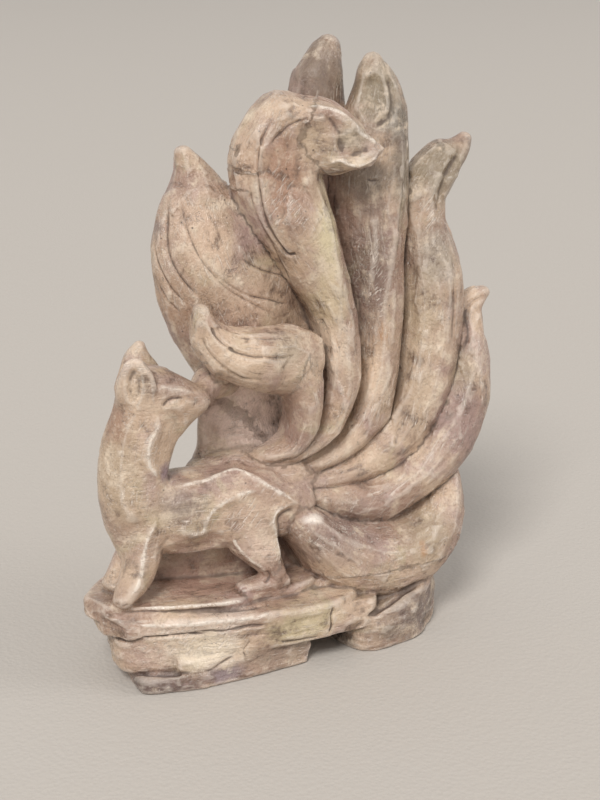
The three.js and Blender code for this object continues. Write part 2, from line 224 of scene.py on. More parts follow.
# A smooth line through the stations, with rounded ends
def drawn_line(stations, pitch=1.5):
    rows = with_ends(np.array(stations, float))
    out = []
    for a, b, c, d in zip(rows, rows[1:], rows[2:], rows[3:]):
        steps = max(2, int(round(np.linalg.norm(c[:3] - b[:3]) / pitch)))
        for t in np.arange(steps) / steps:
            out.append(on_curve(a, b, c, d, t))
    out.append(rows[-2])
    line = np.array(out)
    for end, way in ((0, -1), (-1, 1)):
        along = line[end, :3] - line[end - way, :3]
        along /= np.linalg.norm(along)
        last = line[end].copy()
        reach = 0.7 * min(last[3], last[4])
        cap = []
        for angle in np.radians([18, 36, 54, 70, 84]):
            ring = last.copy()
            ring[:3] += along * reach * math.sin(angle)
            ring[3:5] *= math.cos(angle)
            cap.append(ring)
        line = np.vstack([line, cap]) if way > 0 else np.vstack([cap[::-1], line])
    return line


# The sweep: a rail that carries half width, half thickness, squareness and the direction across
def limb_sweep():
    tree = bpy.data.node_groups.new("limb sweep", "GeometryNodeTree")
    tree.interface.new_socket("Rails", in_out="INPUT", socket_type="NodeSocketGeometry")
    tree.interface.new_socket("Section points", in_out="INPUT", socket_type="NodeSocketInt")
    tree.interface.new_socket("Finish", in_out="INPUT", socket_type="NodeSocketMaterial")
    tree.interface.new_socket("Limbs", in_out="OUTPUT", socket_type="NodeSocketGeometry")
    entry = tree.nodes.new("NodeGroupInput")
    rails, points, finish = (Flow(tree, entry.outputs[i]) for i in range(3))

    def vector_maths(kind, *parts):
        return put(tree, "ShaderNodeVectorMath", {"operation": kind}, dict(enumerate(parts)))

    def named(name, kind):
        return put(tree, "GeometryNodeInputNamedAttribute", {"data_type": kind}, {"Name": name})

    def stored(shape, name, kind, value):
        return put(tree, "GeometryNodeStoreNamedAttribute", {"data_type": kind, "domain": "POINT"},
                   {"Geometry": shape, "Name": name, "Value": value})

    curve = put(tree, "GeometryNodeMeshToCurve", {}, {"Mesh": rails})
    curve = stored(curve, "centre", "FLOAT_VECTOR", put(tree, "GeometryNodeInputPosition", {}, {}))
    curve = stored(curve, "along", "FLOAT_VECTOR", put(tree, "GeometryNodeInputTangent", {}, {}))
    ring = put(tree, "GeometryNodeCurvePrimitiveCircle", {"mode": "RADIUS"},
               {"Resolution": points, "Radius": 1.0})
    angle = put(tree, "GeometryNodeInputIndex", {}, {}) / points * (2 * math.pi)
    ring = stored(ring, "angle", "FLOAT", angle)
    skin = put(tree, "GeometryNodeCurveToMesh", {},
               {"Curve": curve, "Profile Curve": ring, "Fill Caps": True})
    along = named("along", "FLOAT_VECTOR")
    side = vector_maths("CROSS_PRODUCT", named("across", "FLOAT_VECTOR"), along)
    side = vector_maths("NORMALIZE", side)
    depth = vector_maths("CROSS_PRODUCT", along, side)

    def squared(kind):
        wave = named("angle", "FLOAT")._do(kind)
        return wave._do("SIGN") * wave.unsigned() ** (2.0 / named("squareness", "FLOAT"))

    def scaled(vector, amount):
        return put(tree, "ShaderNodeVectorMath", {"operation": "SCALE"}, {0: vector, "Scale": amount})

    sideways = scaled(side, squared("COSINE") * named("half_width", "FLOAT"))
    inwards = scaled(depth, squared("SINE") * named("half_thick", "FLOAT"))
    place = vector_maths("ADD", named("centre", "FLOAT_VECTOR"), vector_maths("ADD", sideways, inwards))
    skin = put(tree, "GeometryNodeSetPosition", {}, {"Geometry": skin, "Position": place})
    skin = put(tree, "GeometryNodeRealizeInstances", {}, {"Geometry": skin})
    skin = put(tree, "GeometryNodeSetMaterial", {}, {"Geometry": skin, "Material": finish})
    leave = tree.nodes.new("NodeGroupOutput")
    tree.links.new(skin.socket, leave.inputs[0])
    return tree


# A number or a direction kept on every point of a mesh
def put_mark(mesh, name, values):
    kind, key = ("FLOAT", "value") if np.ndim(values) == 1 else ("FLOAT_VECTOR", "vector")
    mesh.attributes.new(name, kind, "POINT").data.foreach_set(key, np.ravel(values))


# Rails of many limbs as one mesh; a limb is its stations, its direction across and its squareness
def rails_mesh(limbs):
    points, edges, across, power = [], [], [], []
    for stations, way, squareness in limbs:
        line = drawn_line(stations)
        start = len(points)
        points.extend(line)
        edges.extend((start + i, start + i + 1) for i in range(len(line) - 1))
        across.extend([way] * len(line))
        power.extend([squareness] * len(line))
    points = np.array(points)
    mesh = bpy.data.meshes.new("rails")
    mesh.from_pydata(points[:, :3].tolist(), edges, [])
    put_mark(mesh, "half_width", points[:, 3])
    put_mark(mesh, "half_thick", points[:, 4])
    put_mark(mesh, "squareness", np.array(power, float))
    put_mark(mesh, "across", np.array(across, float))
    return mesh


FRONT = (0.0, 1.0, 0.0)
tails = [(stations, FRONT, 2.0) for stations in FAN.values()]

# The fox stands across the front of the rock with its chest to the left and looks back to the right.
# Its neck is thick, its ears stand up, the legs are short and run into the rock.
NECK_WAY = (0.36, 0.93, 0.0)
HEAD_WAY = (0.45, 0.89, 0.0)
EAR_WAY = (0.3, 0.95, 0.0)
fox = [
    ([(-50, -12, 56, 11, 9), (-40, -12.5, 54, 13.4, 11), (-28, -13, 53.8, 13.5, 11.5),
      (-15, -13, 53.5, 13, 12), (-5, -12, 51.5, 11.5, 12), (4, -10, 49, 9.5, 11)], FRONT, 2.8),
    ([(-26, -4, 60, 7, 7), (-18, -5, 60.5, 8, 9), (-6, -6, 60.5, 8, 9.5), (4, -8, 58.5, 7.5, 9),
      (16, -6.5, 53, 7, 6)], FRONT, 2.8),
    ([(-31.5, -16, 90.5, 4, 4.5), (-37.5, -14.5, 87, 5.5, 6.5), (-43, -13, 81, 6.5, 8),
      (-46, -12, 72, 7, 9)], NECK_WAY, 2.0),
    ([(-49.6, -13, 40, 6.5, 10), (-51, -13, 49.5, 9, 10.5), (-52, -13, 60, 11, 11),
      (-51.5, -12, 70, 11.3, 10.5), (-49.5, -12, 79, 11.3, 10), (-47.3, -12, 87, 10.5, 9.5),
      (-46.5, -12, 94, 9.4, 9)], NECK_WAY, 2.0),
    ([(-52, -9, 96.7, 5, 7), (-47.8, -11, 96, 8.6, 9), (-42.5, -13, 94.3, 8.7, 9),
      (-37.6, -15, 93, 7.8, 7.5), (-33, -16.5, 92.4, 6.2, 5.5), (-29.5, -17.5, 92.2, 4.2, 4)],
      HEAD_WAY, 2.0),
    ([(-30, -17, 92.5, 3.5, 3.5), (-26, -12, 94.5, 5, 6), (-18, -5, 96, 8, 7)], HEAD_WAY, 2.0),
    ([(-50.5, -14, 92, 6.4, 4.5), (-51, -17.5, 98.5, 6.4, 3.6), (-51.4, -18.5, 103.5, 5.4, 3),
      (-51.8, -19, 107, 3.4, 2.4)], EAR_WAY, 2.0),
    ([(-45, -4, 95.5, 9, 5.5), (-45.4, -3, 101, 6.4, 4.5), (-45.6, -3, 105, 4.4, 3.5),
      (-44.9, -3, 108.5, 2, 2.2)], EAR_WAY, 2.0),
    ([(-50, -17, 54, 8, 6.5), (-51.3, -18.5, 46.5, 6.6, 6.2), (-52.2, -19.5, 42, 6.2, 6),
      (-54, -20.5, 37.5, 5.6, 5.6), (-57, -22, 33.8, 4.6, 5.2), (-60.5, -24, 30.4, 2.6, 4.2)], FRONT, 2.0),
    ([(-49, -8, 46, 6.5, 6.5), (-52, -8.5, 39, 5.2, 5.8), (-56, -9.5, 34, 4.4, 5),
      (-60, -10.5, 30.6, 2.8, 4.4)], FRONT, 2.0),
    ([(-12, -15.5, 60, 10.5, 7.5), (-12, -18, 53.5, 10.2, 8), (-14.2, -19, 45.6, 9, 7.8),
      (-12.3, -20, 40.3, 7.2, 7), (-8.8, -21, 34.7, 5, 6), (-6.8, -21.5, 30.4, 4.2, 5.2),
      (-6.5, -21.5, 27.5, 4.2, 4.8)], FRONT, 2.0),
    ([(-3.5, -21.5, 27.4, 2.6, 4.6), (-10, -22.5, 27.6, 2.8, 4.4), (-19.5, -23.5, 27.6, 1.8, 3.4)],
      FRONT, 2.0),
    ([(-12, -6, 54, 9, 7), (-12, -4, 44, 8, 7), (-6, -3, 32, 5, 5)], FRONT, 2.0),
]

# The rock under the fox is left in strata on the left, stepped on top, with a bank behind the legs
# and a rounded block on the right; a broken hollow lies between strata and block. It is the same
# stone as the fox, left rough.


# Points along a smooth closed line
def closed_line(points, count):
    ring = np.array(points, float)
    out = []
    for t in np.arange(count) / count * len(ring):
        i, f = int(t), t - int(t)
        a, b, c, d = (ring[(i + k) % len(ring)] for k in (-1, 0, 1, 2))
        m0, m1 = 0.35 * (c - a), 0.35 * (d - b)
        out.append((2 * f ** 3 - 3 * f ** 2 + 1) * b + (f ** 3 - 2 * f ** 2 + f) * m0
                   + (3 * f ** 2 - 2 * f ** 3) * c + (f ** 3 - f ** 2) * m1)
    return np.array(out)


# The closed line drawn inwards by a distance
def drawn_in(line, distance):
    step = np.roll(line, -1, 0) - np.roll(line, 1, 0)
    step /= np.linalg.norm(step, axis=1)[:, None]
    return line + np.stack([-step[:, 1], step[:, 0]], 1) * distance


# A slab as a stack of rings, closed at both ends
def stacked(rings, middle_low, middle_high):
    count = len(rings[0])
    points = [middle_low] + [p for ring in rings for p in ring] + [middle_high]
    faces = []
    for j in range(count):
        k = (j + 1) % count
        faces.append((0, 1 + k, 1 + j))
        for i in range(len(rings) - 1):
            a, b = 1 + i * count, 1 + (i + 1) * count
            faces.append((a + j, a + k, b + k, b + j))
        end = 1 + (len(rings) - 1) * count
        faces.append((len(points) - 1, end + j, end + k))
    return [tuple(float(v) for v in p) for p in points], faces


# A bed of rock between two heights, its edges rounded over; its top may tilt about x = level
def stratum(points, low, high, low_edge, high_edge, tilt=0.0, level=0.0):
    line = closed_line(points, 110)
    levels = [(low, low_edge)]
    for angle in np.radians([30, 60, 90]):
        levels.append((low + low_edge * (1 - math.cos(angle)), low_edge * (1 - math.sin(angle))))
    for angle in np.radians([90, 60, 30, 0]):
        levels.append((high - high_edge * (1 - math.cos(angle)), high_edge * (1 - math.sin(angle))))
    stack = []
    for z, d in levels:
        ring = drawn_in(line, d)
        rise = tilt * (ring[:, 0] - level) if z > low + low_edge else 0 * ring[:, 0]
        stack.append(np.column_stack([ring, z + rise]))
    centre = line.mean(0)
    top = high + (tilt * (centre[0] - level) if tilt else 0.0)
    return stacked(stack, (*centre, low), (*centre, top))


slabs = [
    stratum([(-54, 4), (-48, -5), (-30, -9), (-9, -11), (14, -9), (25, 0), (24, 14), (8, 21), (-9, 21),
             (-30, 20), (-46, 15)], 21.0, 36.0, 1.0, 9.0, 0.33, -48.0),
    stratum([(-69.5, -11), (-67, -19), (-60.5, -25), (-50, -28), (-38, -29.5), (-23, -29.5), (-16, -27),
             (-6, -26), (4, -24), (9, -21), (8, -12), (0, 6), (-24, 20), (-42, 16), (-58, 4)],
             22.3, 28.5, 0.8, 1.2, -0.045, -60.0),
    stratum([(-66.5, -12), (-64, -24.5), (-50, -30.5), (-38, -33.5), (-20, -36), (0, -36.5), (10, -35),
             (17, -31.5), (23, -24), (22, -8), (0, 10), (-30, 16), (-50, 10), (-62, 0)],
             17.5, 25.6, 1.2, 2.0, -0.055, -60.0),
    stratum([(-40, -18), (0, -22), (20, -22), (40, -14), (54, -4), (52, 14), (30, 24), (0, 25), (-30, 20),
             (-44, 0)], 16.0, 24.3, 1.5, 2.0),
    stratum([(-62, -12), (-61, -23.5), (-50, -29.5), (-36, -33), (-22, -35.5), (2, -36), (14, -34.5),
             (26, -32.5), (30, -20), (20, 8), (-10, 20), (-36, 17), (-56, 4)], 9.2, 18.5, 1.5, 1.5),
    stratum([(-61, -12), (-60.5, -23.5), (-50, -29.5), (-38, -32.5), (-29, -33), (-26, -10), (-34, 14),
             (-54, 4)], 4.5, 12.2, 2.0, 1.0),
    stratum([(-56, -12), (-57, -30.5), (-46, -34.5), (-36, -35.5), (-30, -30), (-28, -10), (-30, 14),
             (-50, 4)], 0.0, 5.5, 1.0, 1.5),
    stratum([(-44, -33.5), (-24, -35), (-12, -34), (1, -32), (4, -26), (6, -18), (8, 6), (-10, 18),
             (-36, 14), (-44, 4), (-46, -16)], 0.0, 10.7, 1.0, 1.5),
    stratum([(20, -31), (26, -34), (36, -33), (47, -28), (58, -15), (59, 0), (50, 16), (30, 24), (10, 24),
             (-6, 18), (4, -4), (14, -16)], 0.0, 15.5, 1.0, 2.5, 0.22, 35.0),
]

# The web joins the stems of the tails and ends in a thin edge at the open hole behind the neck.
web_line = closed_line([(-26, 62), (2, 40), (24, 14), (54, 16), (62, 40), (56, 62), (46, 80), (40, 104),
                        (26, 136), (2, 146), (-12, 124), (-24, 104), (-25, 95), (-23, 88), (-24.5, 82),
                        (-25.5, 70)], 160)
web_rings = []
for y, d in ((-3.0, 2.0), (-2.4, 0.9), (-1.0, 0.0), (3.0, 1.5), (8.0, 5.0), (13.0, 11.0)):
    ring = drawn_in(web_line, d)
    web_rings.append(np.column_stack([ring[:, 0], np.full(len(ring), y), ring[:, 1]])[::-1])
web_middle = web_line.mean(0)
slabs.append(stacked(web_rings, (web_middle[0], -3.0, web_middle[1]), (web_middle[0], 13.0, web_middle[1])))

# All forms grow into one stone. The limbs are swept and laid with the slabs, the whole becomes a
# single skin, and the skin is rubbed down as the carver does with grit, the tails more than the rock.
stone = bpy.data.materials.new("moonstone")
POINTS_ROUND_A_LIMB = 56
SKIN_PITCH = 0.46
ROCK_TOP, FOOT_OF_FOX = 24, 30


# The mesh of an object with its one modifier worked in; the object itself goes
def worked(thing):
    mesh = bpy.data.meshes.new_from_object(thing.evaluated_get(bpy.context.evaluated_depsgraph_get()))
    thing.modifiers.clear()
    bpy.data.objects.remove(thing)
    return mesh


def swept(limbs):
    thing = shown("rails", rails_mesh(limbs))
    sweep = thing.modifiers.new("sweep", "NODES")
    sweep.node_group = limb_sweep()
    for item in sweep.node_group.interface.items_tree:
        if item.in_out == "INPUT" and item.name == "Section points":
            sweep[item.identifier] = POINTS_ROUND_A_LIMB
        if item.in_out == "INPUT" and item.name == "Finish":
            sweep[item.identifier] = stone
    return worked(thing)


def points_and_faces(mesh):
    return [tuple(v.co) for v in mesh.vertices], [tuple(p.vertices) for p in mesh.polygons]


def joined_mesh(name, parts):
    points, faces = [], []
    for part_points, part_faces in parts:
        faces.extend(tuple(len(points) + i for i in face) for face in part_faces)
        points.extend(part_points)
    mesh = bpy.data.meshes.new(name)
    mesh.from_pydata(points, [], faces)
    return mesh


UPRIGHT = (0.0, 0.0, 1.0)
hollow_line = [(10.5, -46, 0, 9.5, 9.8), (10.5, -33, 0, 9.5, 9.8), (10.7, -29, 0, 9, 9.2),
               (11, -26, 0, 6.5, 6.5)]
hollow = shown("broken hollow", swept([(hollow_line, UPRIGHT, 2.0)]))
rock = shown("rock", joined_mesh("rock", slabs))
broken_out = rock.modifiers.new("broken out", "BOOLEAN")
broken_out.operation = "DIFFERENCE"
broken_out.solver = "EXACT"
broken_out.use_self = True
broken_out.object = hollow
rock_mesh = worked(rock)
bpy.data.objects.remove(hollow)
rough = shown("rough stone", joined_mesh("rough stone", [points_and_faces(swept(tails + fox)),
                                                         points_and_faces(rock_mesh)]))
skin = rough.modifiers.new("skin", "REMESH")
skin.mode = "VOXEL"
skin.voxel_size = SKIN_PITCH
skin_mesh = worked(rough)


def numbers(items, key, width, kind=float):
    values = np.empty(len(items) * width, kind)
    items.foreach_get(key, values)
    return values.reshape(-1, width)


def points_and_pairs(mesh):
    return numbers(mesh.vertices, "co", 3), numbers(mesh.edges, "vertices", 2, np.int32)


# A rub with grit draws each point towards the middle of its neighbours
def rubbed(co, pairs, times):
    count = np.bincount(pairs.ravel(), minlength=len(co))[:, None]
    one, other = pairs.T
    for _ in range(times):
        total = np.stack([np.bincount(one, co[other, k], len(co)) + np.bincount(other, co[one, k], len(co))
                          for k in range(3)], 1)
        co = co + 0.5 * (total / np.maximum(count, 1) - co)
    return co


def facing(mesh, co):
    mesh.vertices.foreach_set("co", co.ravel())
    mesh.update()
    return numbers(mesh.vertex_normals, "vector", 3)


# Soft swells from -1 to 1 that lie about `size` apart
def swell(place, size, seed):
    table = np.random.default_rng(seed).uniform(-1, 1, (16, 16, 16))
    cell = np.floor(place / size).astype(int)
    part = place / size - cell
    part = part * part * (3 - 2 * part)
    total = 0.0
    for step in np.ndindex(2, 2, 2):
        share = np.prod(np.where(step, part, 1 - part), axis=1)
        total = total + share * table[tuple(((cell + step) % 16).T)]
    return total


def eased(value, low, high):
    share = np.clip((value - low) / (high - low), 0, 1)
    return share * share * (3 - 2 * share)


co, pairs = points_and_pairs(skin_mesh)
on_rock = 1 - eased(co[:, 2], ROCK_TOP, FOOT_OF_FOX)
polished = rubbed(co, pairs, 6)
crisp = rubbed(co, pairs, 1)
co = polished + (crisp - polished) * on_rock[:, None]

# The grain runs along each tail: how far along it, how far to the side and how deep a point lies.
# On the fox and on the rock it runs level.
ROOM_ROUND_A_TAIL, FOOT_OF_TAILS, NEXT_TAIL = 16, 26, 37.0
nearest = np.full(len(co), 1e9)
grain = co[:, [0, 2, 1]].copy()
for tail_number, (stations, way, _) in enumerate(tails, 6):
    if stations is FAN["hook crest"]:
        continue
    line = drawn_line(stations, 3.5)
    run = np.concatenate([[0], np.cumsum(np.linalg.norm(np.diff(line[:, :3], axis=0), axis=1))])
    ahead = np.gradient(line[:, :3], axis=0)
    low_end, high_end = line[:, :3].min(0) - ROOM_ROUND_A_TAIL, line[:, :3].max(0) + ROOM_ROUND_A_TAIL
    room = np.flatnonzero(((co > low_end) & (co < high_end)).all(1))
    for row, along, length in zip(line, ahead, run):
        along = along / np.linalg.norm(along)
        side = np.cross(way, along)
        side /= np.linalg.norm(side)
        depth = np.cross(along, side)
        away_from = co[room] - row[:3]
        u, v, w = away_from @ side, away_from @ depth, away_from @ along
        gap = (u / row[3]) ** 2 + (v / row[4]) ** 2 + (w / 4.0) ** 2
        better = (gap < nearest[room]) & (gap < 1.4) & (co[room, 2] > FOOT_OF_TAILS)
        nearest[room[better]] = gap[better]
        grain[room[better]] = np.column_stack([length + w, u, v])[better] + NEXT_TAIL * tail_number


# The carver's tools. A graver cuts along a line drawn on the stone, a riffler leaves a sharp or a
# soft ridge, a round burr presses a hollow, a flat file takes off what stands proud of a plane and
# a rag with grit softens a place.
class Stone:
    def __init__(self, mesh, co, pairs):
        self.mesh, self.co, self.pairs = mesh, co, pairs
        self.wear_and_sheen = np.zeros(len(co))
        self.cut_shade = np.zeros(len(co))
        self.turned()

    def turned(self):
        self.normals = facing(self.mesh, self.co)

    def beside(self, line, reach):
        ends = with_ends(np.array(line, float))
        route = [on_curve(*four, t) for four in zip(ends, ends[1:], ends[2:], ends[3:])
                 for t in np.linspace(0, 1, 6)[:-1]]
        route = np.array(route + [ends[-2]])
        room = ((self.co > route.min(0) - 4 - reach) & (self.co < route.max(0) + 4 + reach)).all(1)
        near = np.flatnonzero(room)
        for i, point in enumerate(route):
            route[i] = self.co[near[np.argmin(((self.co[near] - point) ** 2).sum(1))]]
        route[1:-1] = (route[:-2] + 2 * route[1:-1] + route[2:]) / 4
        best = np.full(len(near), 1e9)
        share = np.zeros(len(near))
        for i, (a, b) in enumerate(zip(route, route[1:])):
            length = max((b - a) @ (b - a), 1e-9)
            t = np.clip(((self.co[near] - a) @ (b - a)) / length, 0, 1)
            gap = np.linalg.norm(self.co[near] - a - t[:, None] * (b - a), axis=1)
            share = np.where(gap < best, (i + t) / (len(route) - 1), share)
            best = np.minimum(best, gap)
        close = best < reach
        runs_out = np.minimum(eased(share, 0, 0.18), 1 - eased(share, 0.82, 1))
        return near[close], best[close], 0.15 + 0.85 * runs_out[close]

    def cut(self, line, width, depth):
        near, gap, strength = self.beside(line, 2.2 * width)
        self.co[near] -= self.normals[near] * (depth * strength * np.exp(-(gap / width) ** 2 * 1.6))[:, None]
        # A cut also marks its groove to be darkened in the finish: painted shade
        mark = min(1.0, 0.75 * depth) * strength * np.exp(-(gap / max(0.6 * width, 0.5)) ** 2)
        self.cut_shade[near] = np.maximum(self.cut_shade[near], mark)

    def raise_ridge(self, line, width, height):
        near, gap, strength = self.beside(line, width)
        self.co[near] += self.normals[near] * (height * strength * (1 - eased(gap, 0, width)))[:, None]

    def leave_arris(self, line, width, height, pale_edge=1.0):
        near, gap, strength = self.beside(line, width)
        self.co[near] += self.normals[near] * (height * strength * (1 - gap / width) ** 1.25)[:, None]
        # An arris also marks a pale line along it: painted highlight, partly wear
        self.wear_and_sheen[near] = np.maximum(self.wear_and_sheen[near], pale_edge * strength * np.maximum(1 - gap / 1.4, 0))

    def within(self, centre, radii):
        far = (((self.co - centre) / radii) ** 2).sum(1)
        near = np.flatnonzero(far < 1)
        return near, 1 - eased(far[near], 0.3, 1.0)

    def press(self, centre, radii, depth, way=None):
        near, share = self.within(centre, radii)
        push = self.normals[near] if way is None else np.array(way) / np.linalg.norm(way)
        self.co[near] -= push * (depth * share)[:, None]
        self.turned()

    def file_flat(self, centre, way, radii, share=1.0):
        way = np.array(way, float) / np.linalg.norm(way)
        near, amount = self.within(centre, radii)
        proud = np.maximum((self.co[near] - centre) @ way, 0) * amount * share
        self.co[near] -= proud[:, None] * way
        self.turned()

    # A flat file leaves facets that follow the grain, some six by eleven millimetres
    def leave_facets(self, grain, size, share, facets=1500):
        place = grain / size
        picks = np.random.default_rng(11).choice(len(place), facets, replace=False)
        tree = kdtree.KDTree(facets)
        for i, pick in enumerate(picks):
            tree.insert(place[pick], i)
        tree.balance()
        facet = np.array([tree.find(point)[1] for point in place])
        count = np.maximum(np.bincount(facet, minlength=facets), 1)[:, None]
        middle, way = (np.stack([np.bincount(facet, rows[:, k], facets) for k in range(3)], 1) / count
                       for rows in (self.co, self.normals))
        agreed = np.linalg.norm(way, axis=1)
        way /= np.maximum(agreed, 1e-6)[:, None]
        height = np.clip(((self.co - middle[facet]) * way[facet]).sum(1), -0.7, 0.7)
        taken = height * share * eased(agreed[facet], 0.86, 0.97)
        self.co -= taken[:, None] * way[facet]
        self.co = rubbed(self.co, self.pairs, 2)
        self.turned()

    def soften(self, centre, radii, times):
        near, share = self.within(centre, radii)
        number = np.full(len(self.co), -1)
        number[near] = np.arange(len(near))
        inside = number[self.pairs]
        inside = inside[(inside >= 0).all(1)]
        self.co[near] += (rubbed(self.co[near], inside, times) - self.co[near]) * share[:, None]
        self.turned()


carving = Stone(skin_mesh, co, pairs)

# Where one form runs into the next the joint is rubbed soft: the curled tail into its stem, the
# crest into the hooked tail, the neck into breast and shoulder, the haunch into the back.
for centre, radii, times in (((4, -23, 96), (9, 9, 9), 90), ((6, -20, 178), (11, 9, 10), 90),
                             ((-46, -20, 58), (9, 8, 12), 80), ((-53, -21, 50), (9, 8, 9), 60),
                             ((-46, -19, 88), (8, 8, 8), 50), ((-12, -22, 58), (15, 7, 9), 90),
                             ((-14, -24, 46), (9, 7, 9), 50), ((-25, -18, 98), (9, 9, 8), 40)):
    carving.soften(centre, radii, times)

# The crest of the hooked tail folds over. Its face is filed level with the tail below, then
# hollowed between the upper edge and a lip that turns out underneath.
carving.file_flat((7, -19.5, 166), (-0.3, -0.95, -0.05), (14, 10, 17), 1.0)
carving.file_flat((17, -23.8, 172), (-0.33, -0.93, 0.15), (15, 9, 10), 0.9)
carving.soften((6, -20, 164), (8, 8, 7), 60)
carving.file_flat((-2, -17.8, 163), (-0.25, -0.97, 0.0), (8, 7, 20), 0.9)
carving.file_flat((2, -24.5, 100), (0.2, -1, 0.12), (13, 9, 11), 0.85)

# The hollow behind the fox's head is scooped out of the web between the tails. It starts shallow at
# the left and is deepest under the curled tail's stem.
carving.press((-5, -3, 80), (22, 9, 13), 1.8, (0.1, -1, 0))
carving.press((1, -4, 79), (8, 9, 8), 1.6, (-0.2, -1, 0))
carving.soften((-8, -1, 79), (19, 9, 12), 40)

# Flats of the file all over, plain on tails and rock, faint on the fox and none in the hollow
on_left = 1 - eased(carving.co[:, 0], 0, 12)
over_rock = eased(carving.co[:, 2], 24, 32)
under_ears = 1 - eased(carving.co[:, 2], 90, 110)
filed = 0.75 - 0.45 * on_left * over_rock * under_ears
scooped, depth_there = carving.within((-4, -3, 80), (24, 14, 16))
filed[scooped] *= 1 - np.minimum(1, 3 * depth_there)
for centre, radii in (((16, -14, 60), (24, 15, 15)), ((24, 4, 190), (14, 14, 20)),
                      ((-8, -22, 52), (14, 9, 13))):
    plain, there = carving.within(centre, radii)
    filed[plain] *= 1 - 0.8 * there
carving.leave_facets(grain, (11.0, 5.5, 5.5), filed)
for centre, radii, times in (((-8, -23, 53), (15, 7, 12), 60), ((-52, -22, 51), (12, 9, 8), 140),
                             ((-48, -20, 66), (8, 8, 8), 30), ((-3, -20, 46), (8, 7, 8), 60),
                             ((0, -19, 58), (12, 8, 8), 40)):
    carving.soften(centre, radii, times)

# Each stem keeps a long arris where its front and its shaded side meet.
for line, width, height in (
        ([(8.5, -19, 160), (13, -18.4, 148.6), (15.6, -19, 135.5), (17.4, -19.2, 123.8), (18.8, -17.9, 110),
          (18.8, -16.5, 98.7), (17, -16, 87), (11, -18, 78)], 6.0, 1.5),
        ([(41.8, -7.3, 181.8), (43.8, -8.8, 169), (43.5, -9.5, 152.7), (40.5, -11.7, 133.3),
          (37.4, -12.6, 116.8), (37.4, -13.1, 104.6), (36.1, -13.2, 90.8), (30.8, -12.2, 77.4),
          (18, -13.3, 66.7)], 5.0, 1.2),
        ([(33, -10.5, 146.5), (34.5, -11, 139), (33.5, -10.5, 125), (33, -10, 113)], 3.0, 0.8),
        ([(61, -5.7, 160.8), (54.6, -7, 148.1), (52.9, -7.3, 134.7), (54.1, -10.3, 116.6),
          (53.1, -11.5, 98.5), (48.6, -11.3, 82.2), (38.8, -9.3, 68.9), (18, -13.3, 59.1)], 5.5, 1.4),
        ([(78.9, -3.5, 106.8), (74.6, -9.8, 91.5), (66.9, -14.7, 74.7), (55, -16.5, 61.2),
          (43.1, -18, 52.5), (23.3, -16.6, 51.5)], 6.0, 1.3),
        ([(2.7, -21.9, 51), (9.4, -23.3, 45.4), (17.6, -25.6, 39.1), (32.3, -26.5, 32.1),
          (48.2, -25.4, 31.9), (59.6, -20.7, 40.5)], 6.5, 1.2),
        ([(61, -9, 128), (61.5, -9.5, 115), (60, -10, 100)], 3.0, 0.6)):
    carving.leave_arris(line, width, height, 0.62)
carving.turned()

